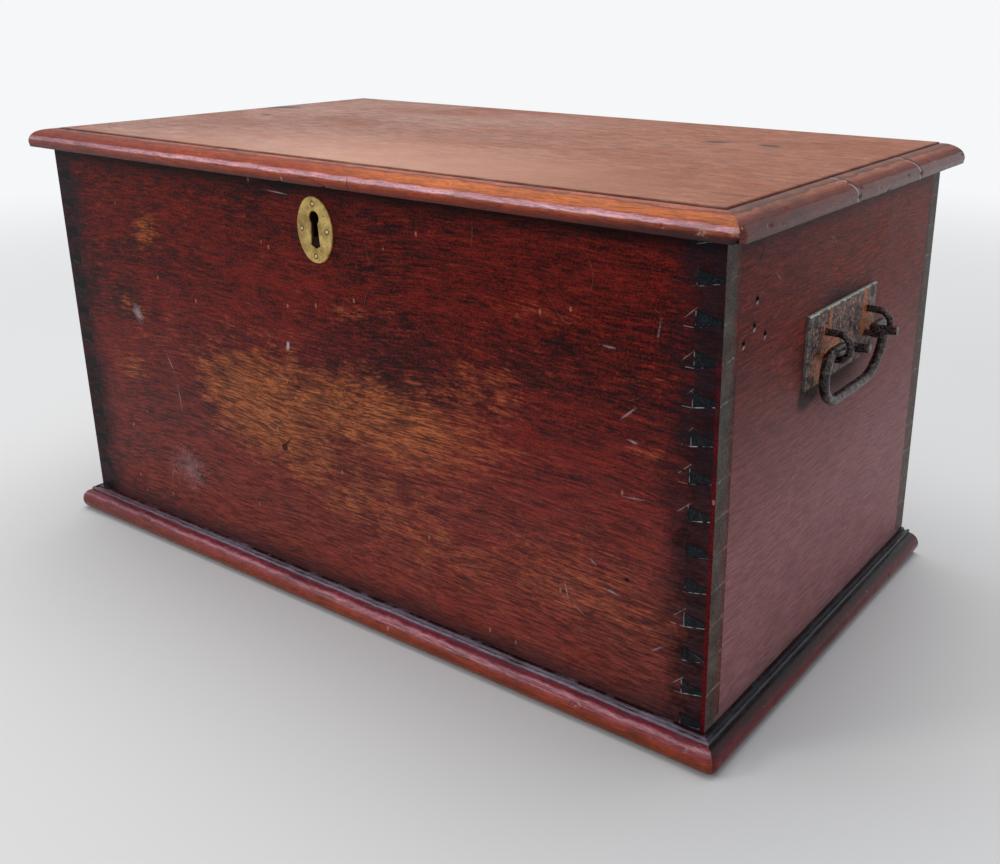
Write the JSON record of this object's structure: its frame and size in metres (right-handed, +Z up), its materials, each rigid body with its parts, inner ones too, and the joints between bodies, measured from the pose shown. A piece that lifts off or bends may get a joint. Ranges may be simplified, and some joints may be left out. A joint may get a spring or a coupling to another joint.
{
  "type": "storage chest",
  "caption": "Small dovetailed wooden storage chest with a hinged lid, moulded base and lid edges, a lock behind an oval brass escutcheon, and an iron bail handle on each side.",
  "frame": {"origin": "on the floor, under the middle of the chest's bounding box", "axes": "+X along the front towards the right side, +Y from the front to the back, +Z up"},
  "size_m": [0.7496, 0.401, 0.3746],
  "materials": {
    "wall_wood": "worn dark red-brown stain over fine-grained wood",
    "bottom_wood": "bare planed wood",
    "base_moulding_wood": "worn dark red-brown stain, waxed",
    "lid_wood": "faded red-brown stain, waxed",
    "lid_moulding_wood": "faded red-brown stain, rubbed",
    "brass": "dull old brass",
    "wrought_iron": "pitted dark iron with rust",
    "lock_iron": "dark iron",
    "hinge_iron": "dark iron",
    "nail_iron": "dark iron"
  },
  "bodies": {
    "carcase": {"back_board": "wall_wood", "base_moulding_front": "base_moulding_wood", "base_moulding_left": "base_moulding_wood", "base_moulding_nails": "nail_iron", "base_moulding_right": "base_moulding_wood", "bottom_board_back": "bottom_wood", "bottom_board_front": "bottom_wood", "bottom_board_middle": "bottom_wood", "bottom_nails": "nail_iron", "escutcheon": "brass", "escutcheon_pins": "brass", "front_board": "wall_wood", "handle_plate_left": "wrought_iron", "handle_plate_right": "wrought_iron", "handle_screws_left": "wrought_iron", "handle_screws_right": "wrought_iron", "handle_staple_left_front": "wrought_iron", "handle_staple_left_rear": "wrought_iron", "handle_staple_right_front": "wrought_iron", "handle_staple_right_rear": "wrought_iron", "hinge_back_leaf_left": "hinge_iron", "hinge_back_leaf_right": "hinge_iron", "hinge_back_screws": "hinge_iron", "hinge_pin_left": "hinge_iron", "hinge_pin_right": "hinge_iron", "left_side_board": "wall_wood", "lock_case": "lock_iron", "lock_plate": "lock_iron", "lock_screws": "lock_iron", "right_side_board": "wall_wood"},
    "lid": {"hinge_lid_leaf_left": "hinge_iron", "hinge_lid_leaf_right": "hinge_iron", "hinge_lid_screws": "hinge_iron", "lid_board": "lid_wood", "lid_moulding_front": "lid_moulding_wood", "lid_moulding_left": "lid_moulding_wood", "lid_moulding_nails": "nail_iron", "lid_moulding_right": "lid_moulding_wood", "lock_link_plate": "lock_iron", "lock_link_screws": "lock_iron"},
    "lock_bolt": {"lock_bolt": "lock_iron"},
    "left_bail": {"handle_bail_left": "wrought_iron"},
    "right_bail": {"handle_bail_right": "wrought_iron"}
  },
  "joints": [
    {"name": "lid_hinge", "type": "hinge", "parent": "carcase", "child": "lid", "pos_m": [0, 0.1953, 0.3585], "axis": [-1, 0, 0], "range_deg": [0, 107]},
    {"name": "bolt_slide", "type": "slide", "parent": "carcase", "child": "lock_bolt", "axis": [1, 0, 0], "range_m": [0, 0.008]},
    {"name": "left_handle", "type": "hinge", "parent": "carcase", "child": "left_bail", "pos_m": [-0.355, 0.005, 0.2551], "axis": [0, 1, 0], "range_deg": [-6, 98]},
    {"name": "right_handle", "type": "hinge", "parent": "carcase", "child": "right_bail", "pos_m": [0.355, 0.005, 0.2551], "axis": [0, -1, 0], "range_deg": [-6, 98]}
  ]
}
